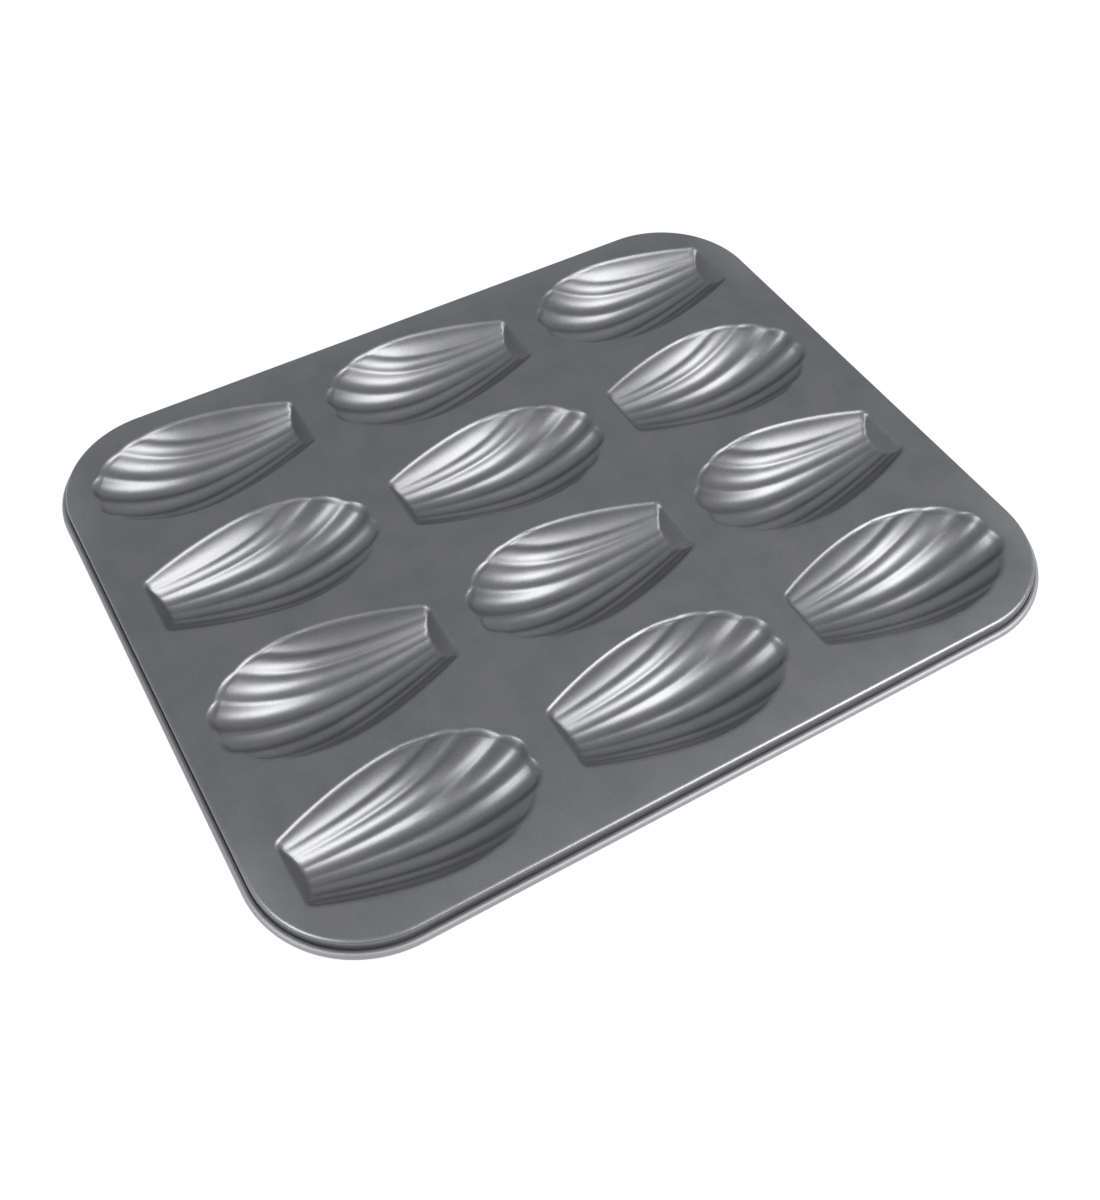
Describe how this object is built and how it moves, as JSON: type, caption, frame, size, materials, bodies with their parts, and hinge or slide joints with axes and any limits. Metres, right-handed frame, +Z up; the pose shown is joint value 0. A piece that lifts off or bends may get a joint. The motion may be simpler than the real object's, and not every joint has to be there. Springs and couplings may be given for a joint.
{
  "type": "madeleine pan",
  "caption": "Flat steel baking pan with rows of fluted shell-shaped moulds pressed down into it, a non-stick coating, rounded corners and a rolled edge",
  "frame": {"origin": "middle of the pan, on the surface that the moulds stand on", "axes": "+X along the pan's long side and the moulds' length, +Y across to the back row, +Z up through the open tops of the moulds"},
  "size_m": [0.2798, 0.2322, 0.0149],
  "materials": {
    "coated_steel": "satin dark grey non-stick coating",
    "rim_wire": "plain drawn steel wire, hidden in the rolled edge"
  },
  "bodies": {
    "root": {"mould_a1": "coated_steel", "mould_a2": "coated_steel", "mould_a3": "coated_steel", "mould_b1": "coated_steel", "mould_b2": "coated_steel", "mould_b3": "coated_steel", "mould_c1": "coated_steel", "mould_c2": "coated_steel", "mould_c3": "coated_steel", "mould_d1": "coated_steel", "mould_d2": "coated_steel", "mould_d3": "coated_steel", "top_plate": "coated_steel", "curled_edge": "coated_steel", "edge_wire": "rim_wire"}
  },
  "joints": []
}
